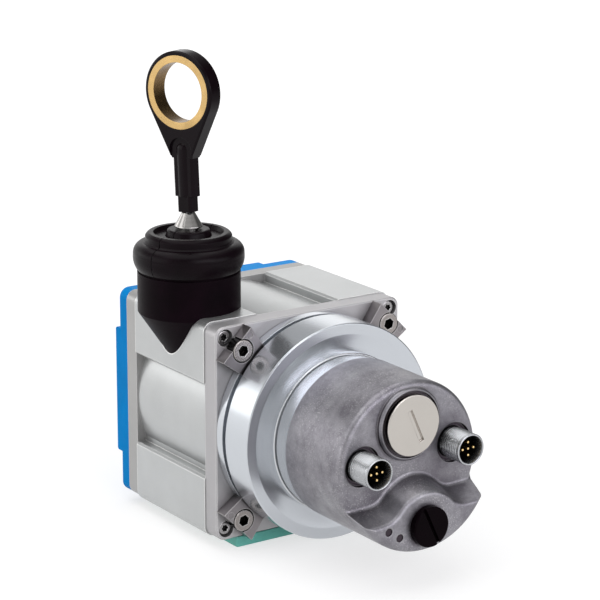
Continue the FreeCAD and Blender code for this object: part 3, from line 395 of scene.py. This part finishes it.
finish_with(body_metal, "drum_housing")
finish_with(rear_metal, "rear_plate")
finish_with(plate_metal, "front_plate")
finish_with(flange_metal, "mounting_flange")
finish_with(encoder_metal, "encoder_flange")
finish_with(cast_metal(), "encoder_housing")
finish_with(clamp_metal, "servo_clamps")
finish_with(clamp_screw_metal, "clamp_screws")
finish_with(corner_screw_metal, "plate_screws")
finish_with(hidden_screw_metal, "cover_screws", "pad_screws")
finish_with(shell_metal, "connector_shells")
finish_with(plug_metal, "switch_plug")
finish_with(satin_metal("contact_gold", (0.86, 0.62, 0.28), rough=0.22), "connector_pins")
finish_with(cone_metal, "wire_ferrule")
finish_with(satin_metal("pin_steel", (0.52, 0.53, 0.55), rough=0.25), "swivel_pin")
finish_with(eye_brass(), "eyelet_bush")
finish_with(drum_metal, "drum")
finish_with(wound_metal, "wire_winding")
finish_with(satin_metal("shaft_steel", (0.52, 0.53, 0.55), rough=0.25), "drum_shaft", "encoder_shaft")
finish_with(satin_metal("coupling_metal", (0.60, 0.61, 0.62), rough=0.3), "shaft_coupling")
finish_with(bearing_metal, "bearing_outer_rings", "bearing_inner_rings", "bearing_balls",
            "encoder_bearing_outer_rings", "encoder_bearing_inner_rings")
finish_with(satin_metal("spring_steel", (0.30, 0.32, 0.36), rough=0.3), "power_spring")


# Plastics, rubber and glass

def plastic(name, color, rough, spread=0.15, grain=1500.0, bump=0.08, **sockets):
    m = Mat(name, color, rough, 0.0, **sockets)
    fine = m.noise(grain, 3.0, 0.6)
    m.shades(m.noise(90.0, 4.0), spread)
    m.roughness(fine, rough - 0.06, rough + 0.06)
    m.link(m.bump(fine, bump, 0.00004, m.edge(0.0003)), "Normal")
    return m


def glass_disc():
    """Clear disc with dark lines that run out from its middle."""
    clear, line_tone = (0.75, 0.83, 0.86), (0.15, 0.17, 0.18)
    m = Mat("code_glass", clear, 0.05, 0.0, Transmission_Weight=0.8, IOR=1.5)
    x, y, z = m.split(m.about(AXIS))
    lines = m.math("SINE", m.math("MULTIPLY", m.math("ARCTAN2", z, x), CODE_LINES))
    m.link(m.ramp(lines, [(0.45, clear), (0.55, line_tone)]), "Base Color")
    return m


pad_plastic = plastic("pad_plastic", (0.20, 0.66, 0.56), rough=0.42, spread=0.06,
                      Specular_IOR_Level=0.25)
cover_plastic = plastic("cover_plastic", (0.0, 0.255, 0.68), rough=0.42, spread=0.05,
                        Specular_IOR_Level=0.03)
guide_plastic = plastic("guide_plastic", (0.0040, 0.0010, 0.0028), rough=0.42, spread=0.4,
                        Specular_IOR_Level=0.04)
bumper_rubber = plastic("bumper_rubber", (0.0040, 0.0012, 0.0028), rough=0.32, spread=0.3, bump=0.04,
                        Specular_IOR_Level=0.08)
clip_plastic = plastic("clip_plastic", (0.0045, 0.0015, 0.0030), rough=0.20, spread=0.3, bump=0.01,
                       Specular_IOR_Level=0.10)
wiper_felt = plastic("wiper_felt", (0.30, 0.29, 0.27), rough=0.9, spread=0.2, grain=5000.0, bump=0.6,
                     Sheen_Weight=0.4)
seal_rubber = plastic("seal_rubber", (0.006, 0.005, 0.006), rough=0.4, Specular_IOR_Level=0.2)
insert_plastic = plastic("connector_plastic", (0.0018, 0.0015, 0.0018), rough=0.60, Specular_IOR_Level=0.01)
service_plastic = plastic("service_plastic", (0.0024, 0.0006, 0.0016), rough=0.30, spread=0.3,
                          Specular_IOR_Level=0.03)
lens_plastic = plastic("lens_plastic", (0.030, 0.018, 0.028), rough=0.18, Specular_IOR_Level=0.3)

finish_with(pad_plastic, "base_pad")
finish_with(cover_plastic, "spring_cover")
finish_with(guide_plastic, "wire_guide")
finish_with(bumper_rubber, "rubber_bumper")
finish_with(clip_plastic, "clip_eyelet")
finish_with(plastic("bush_ceramic", (0.75, 0.72, 0.66), rough=0.2, spread=0.04), "guide_bush")
finish_with(wiper_felt, "wire_wiper")
finish_with(seal_rubber, "housing_seal", "switch_plug_seal", "service_plug_seal")
finish_with(plastic("board_laminate", (0.03, 0.20, 0.09), rough=0.3), "sensor_board")
finish_with(insert_plastic, "connector_inserts")
finish_with(service_plastic, "service_plug")
finish_with(lens_plastic, "indicator_lenses")
finish_with(glass_disc(), "code_disc")


# Mesh helpers

def add_object(name, data):
    made = bpy.data.objects.new(name, data)
    bpy.context.scene.collection.objects.link(made)
    return made


def add_mesh(name, b, m, smooth=False):
    """An object from a finished bmesh."""
    mesh = bpy.data.meshes.new(name)
    b.to_mesh(mesh)
    b.free()
    if smooth:
        mesh.polygons.foreach_set("use_smooth", [True] * len(mesh.polygons))
    mesh.materials.append(m.mat)
    return add_object(name, mesh)


def ring(b, sides, radius_at, place):
    """Closed row of vertices: radius_at gives the radius at an angle, and place puts it in space."""
    verts = []
    for side in range(sides):
        angle = FULL_TURN * side / sides
        radius = radius_at(angle)
        verts.append(b.verts.new(place(radius * math.cos(angle), radius * math.sin(angle))))
    return verts


def bridge(b, rings):
    """Faces between each ring and the next."""
    for one, other in zip(rings, rings[1:]):
        for side in range(len(one)):
            after = (side + 1) % len(one)
            b.faces.new((one[side], one[after], other[after], other[side]))


# Pieces that replace a solid with a finer one

def wire_run():
    """Wire from the drum to the cone: stranded, and finely divided along its length."""
    low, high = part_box("measuring_wire")
    outside = (high.x - low.x) / 2

    def strand_ring(z):
        def radius_at(angle):
            lay = abs(math.sin((WIRE_STRANDS * angle + (z - low.z) * WIRE_TWIST) / 2))
            return outside * (1 - WIRE_GROOVE + WIRE_GROOVE * lay)

        return ring(b, WIRE_SIDES, radius_at, lambda across, along: (WIRE.x + across, WIRE.y + along, z))

    b = bmesh.new()
    rings = [strand_ring(low.z + (high.z - low.z) * row / WIRE_ROWS) for row in range(WIRE_ROWS + 1)]
    bridge(b, rings)
    b.faces.new(list(reversed(rings[0])))
    b.faces.new(rings[-1])
    piece = add_mesh("wire_run", b, strand_metal, smooth=True)
    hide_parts("measuring_wire")
    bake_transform(piece)


def encoder_place(x, y):
    """Point on the plane of the front plate: across and up the encoder's face."""
    c, s = math.cos(ENCODER_TURN), math.sin(ENCODER_TURN)
    return Vector((x * c - y * s, FRONT_Y, AXIS_Z + x * s + y * c))


def shell_ring(b, middle, radius, depth, wave=0.0):
    """Ring of a connector shell, at a depth in front of the plate, with the thread cut into it."""
    def radius_at(angle):
        phase = (depth / THREAD_PITCH - angle / FULL_TURN) % 1.0
        return radius - wave * abs(2.0 * phase - 1.0)

    return ring(b, SHELL_SIDES, radius_at,
                lambda across, up: (middle.x + across, middle.y - depth, middle.z + up))


def threaded_shells():
    """Connector shells with their threads, plain at the rim."""
    low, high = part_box("connector_shells")
    start, end = FRONT_Y - high.y, FRONT_Y - low.y
    rows = int((end - start) / THREAD_PITCH * THREAD_ROWS)
    b = bmesh.new()
    for side_x in (-1, 1):
        middle = encoder_place(side_x * CONNECTOR_X, CONNECTOR_UP)
        rings = []
        for row in range(rows + 1):
            depth = start + (end - start) * row / rows
            cut = min(1.0, max(0.0, (end - THREAD_END - depth) / THREAD_FADE))
            bevel = max(0.0, depth - (end - RIM_BEVEL))
            rings.append(shell_ring(b, middle, SHELL_RADIUS - bevel, depth, THREAD_DEPTH * cut))
        rings.append(shell_ring(b, middle, SHELL_BORE + BORE_BEVEL, end))
        rings.append(shell_ring(b, middle, SHELL_BORE, end - BORE_BEVEL))
        rings.append(shell_ring(b, middle, SHELL_BORE, start))
        bridge(b, rings + rings[:1])
    bmesh.ops.recalc_face_normals(b, faces=b.faces)
    piece = add_mesh("threaded_shells", b, shell_metal, smooth=True)
    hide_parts("connector_shells")
    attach(piece, "housing")


def star_screws():
    """Screws at the corners of both end plates, with their star sockets."""
    head, socket = SCREW_HEAD, STAR_SOCKET
    # Radius, depth from the outer face, and depth of the star's wave, from the tip to the socket's floor
    profile = [(SCREW_SHANK, SCREW_LENGTH, 0.0), (SCREW_SHANK, SCREW_HEAD_HEIGHT, 0.0),
               (head, SCREW_HEAD_HEIGHT, 0.0), (head, 0.00035, 0.0), (head - 0.0001, 0.0001, 0.0),
               (head - 0.00035, 0.0, 0.0), (socket + 0.00012, 0.0, 0.12), (socket, 0.00012, STAR_WAVE),
               (socket, 0.0012, STAR_WAVE), (0.0002, 0.0013, 0.0)]
    low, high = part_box("plate_screws")
    x, z = high.x - head, high.z - AXIS_Z - head
    corners = ((-x, -z), (-x, z), (x, -z), (x, z))

    def screw_ring(radius, y, wave):
        def radius_at(angle):
            return radius * (1 + wave * math.cos(STAR_POINTS * (angle + turn * STAR_TURN)))

        return ring(b, SCREW_SIDES, radius_at,
                    lambda across, up: (corner_x + across, y, AXIS_Z + corner_z + up))

    b = bmesh.new()
    for face, away in ((low.y, 1), (high.y, -1)):
        for turn, (corner_x, corner_z) in enumerate(corners):
            rings = [screw_ring(radius, face + away * depth, wave) for radius, depth, wave in profile]
            bridge(b, rings)
            b.faces.new(rings[0])
            b.faces.new(rings[-1])
    bmesh.ops.recalc_face_normals(b, faces=b.faces)
    piece = add_mesh("star_screws", b, corner_screw_metal)
    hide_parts("plate_screws")
    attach(piece, "housing")


wire_run()
threaded_shells()
star_screws()


# Floor, world, lamps and camera

def floor():
    """Pale floor, white to the eye, which fades towards the dark front of the studio in reflections."""
    m = Mat("floor_paper", (FLOOR_COLOR,) * 3, 0.9)
    m.set("Specular IOR Level", 0.0)
    m.shades(m.noise(3.0), 0.01)
    x, y, z = m.split(m.place)
    far = m.node("ShaderNodeVectorMath", {0: m.place}, operation="LENGTH").outputs["Value"]
    level = m.span(far, *GLOW_REACH, *FLOOR_GLOW)
    forward = m.span(y, *FRONT_REACH, FRONT_FADE, 1.0)
    aside = m.span(x, *SIDE_REACH, 1.0, SIDE_FADE)
    mirrored = m.math("MULTIPLY", m.seen_by("Is Glossy Ray", "Is Transmission Ray"),
                      m.math("MULTIPLY", forward, aside))
    seen = m.math("ADD", m.seen_by("Is Camera Ray"), mirrored)
    glow = m.node("ShaderNodeEmission", {"Color": (1, 1, 1, 1), "Strength": m.math("MULTIPLY", seen, level)})
    both = m.node("ShaderNodeAddShader", {0: m.shader.outputs[0], 1: glow.outputs[0]})
    m.tree.links.new(both.outputs[0], m.tree.nodes["Material Output"].inputs["Surface"])

    b = bmesh.new()
    bmesh.ops.create_grid(b, x_segments=2, y_segments=2, size=FLOOR_SIZE)
    add_mesh("studio_floor", b, m)


def surroundings():
    """White backdrop with a darker zone between it and the top light, as reflections show it."""
    world = bpy.data.worlds.new("studio")
    bpy.context.scene.world = world
    world.use_nodes = True
    w = Nodes(world.node_tree)
    x, y, z = w.split(w.node("ShaderNodeTexCoord").outputs["Generated"])
    sky = w.ramp(z, [(place, (tone,) * 3) for place, tone in SKY])
    forward = w.span(y, *SKY_FRONT_REACH, SKY_FRONT_FADE, 1.0)
    aside = w.span(x, *SKY_SIDE_REACH, 1.0, SIDE_FADE)
    shown = w.math("MULTIPLY", sky, w.math("MULTIPLY", forward, aside))
    mirrored = w.seen_by("Is Glossy Ray", "Is Transmission Ray")
    lit = w.node("ShaderNodeMix", {0: mirrored, 2: SKY_DIFFUSE, 3: shown}).outputs[0]
    white = w.node("ShaderNodeMix", {0: w.seen_by("Is Camera Ray"), 2: lit, 3: 1.0}).outputs[0]
    background = w.tree.nodes["Background"]
    w.tree.links.new(white, background.inputs["Strength"])
    background.inputs["Color"].default_value = (1.0, 1.0, 1.0, 1.0)


def soft_box(name, place, target_z, size, bright, color=(1, 1, 1)):
    """Rectangular lamp aimed at a height on the object's middle line, not seen by the camera."""
    data = bpy.data.lights.new(name, "AREA")
    data.shape = "RECTANGLE"
    data.size, data.size_y = size
    data.energy = bright * math.pi * size[0] * size[1]
    data.color = color
    made = add_object(name, data)
    made.location = place
    aim = Vector((0.0, 0.0, target_z)) - Vector(place)
    made.rotation_euler = aim.to_track_quat("-Z", "Y").to_euler()
    made.visible_camera = False


def lamps():
    soft_box("top_box", (-0.15, 0.10, 1.15), 0.05, (1.6, 1.3), 1.25)
    soft_box("left_box", (-1.15, 0.20, 0.45), 0.06, (0.9, 0.9), 1.2)
    soft_box("back_left_box", (-0.78, 1.05, 0.32), 0.06, (0.9, 0.42), 1.2)
    soft_box("back_right_box", (0.72, 1.10, 0.50), 0.08, (1.2, 0.45), 0.4)
    soft_box("front_fill", (0.0, -1.5, 0.7), 0.05, (1.1, 0.8), 3.0, COOL_LIGHT)
    soft_box("front_right_box", (0.80, -1.20, 0.30), 0.05, (1.1, 0.6), 1.7, COOL_LIGHT)


def camera():
    data = bpy.data.cameras.new("camera")
    data.sensor_width = SENSOR_MM
    data.lens = SENSOR_MM * FOCAL_PIXELS / IMAGE_PIXELS
    data.clip_start = 0.01
    made = add_object("camera", data)
    turn = Matrix((CAMERA_RIGHT, CAMERA_UP, CAMERA_BACK)).transposed().to_4x4()
    made.matrix_world = Matrix.Translation(CAMERA_PLACE) @ turn
    bpy.context.scene.camera = made


floor()
surroundings()
lamps()
camera()
bpy.context.scene.view_settings.view_transform = "Standard"
